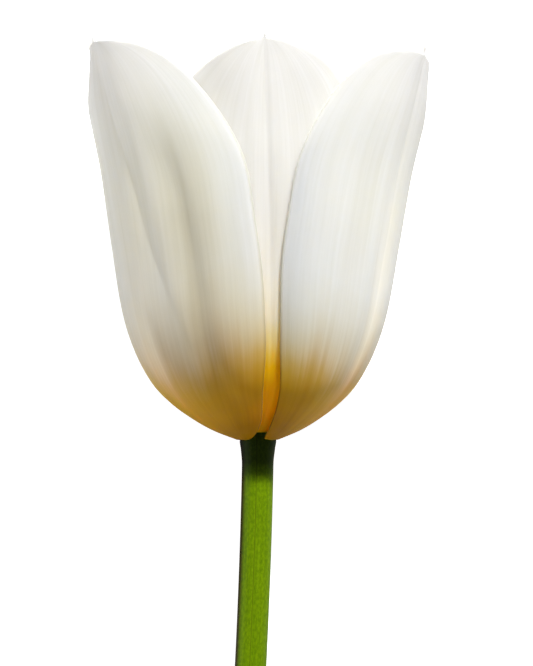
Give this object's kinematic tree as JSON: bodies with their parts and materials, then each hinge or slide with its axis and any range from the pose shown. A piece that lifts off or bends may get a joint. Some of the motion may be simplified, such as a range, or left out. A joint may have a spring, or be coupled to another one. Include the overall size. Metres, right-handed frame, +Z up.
{
  "type": "tulip flower",
  "caption": "Single white tulip flower on a cut green stem, lying on its side, its cup of broad overlapping petals half open around the stamens and the pistil.",
  "frame": {"origin": "on the surface the flower lies on, under the middle of the bounding box of the whole cut flower", "axes": "+Y along the flower, from the cut end of the stem towards the mouth of the cup; +Z up from the surface, out of the front of the cup; +X to the right when the front faces the viewer and the cup is above its stem"},
  "size_m": [0.0604, 0.169, 0.0584],
  "materials": {
    "petal": "satin",
    "stem": "satin",
    "filament": "satin",
    "anther": "matte",
    "pistil": "satin"
  },
  "bodies": {
    "root": {"outer_tepal_left": "petal", "outer_tepal_right": "petal", "outer_tepal_back": "petal", "inner_tepal_front": "petal", "inner_tepal_back_right": "petal", "inner_tepal_back_left": "petal", "filament_1": "filament", "anther_1": "anther", "filament_2": "filament", "anther_2": "anther", "filament_3": "filament", "anther_3": "anther", "filament_4": "filament", "anther_4": "anther", "filament_5": "filament", "anther_5": "anther", "filament_6": "filament", "anther_6": "anther", "pistil": "pistil", "stem": "stem"}
  },
  "joints": []
}
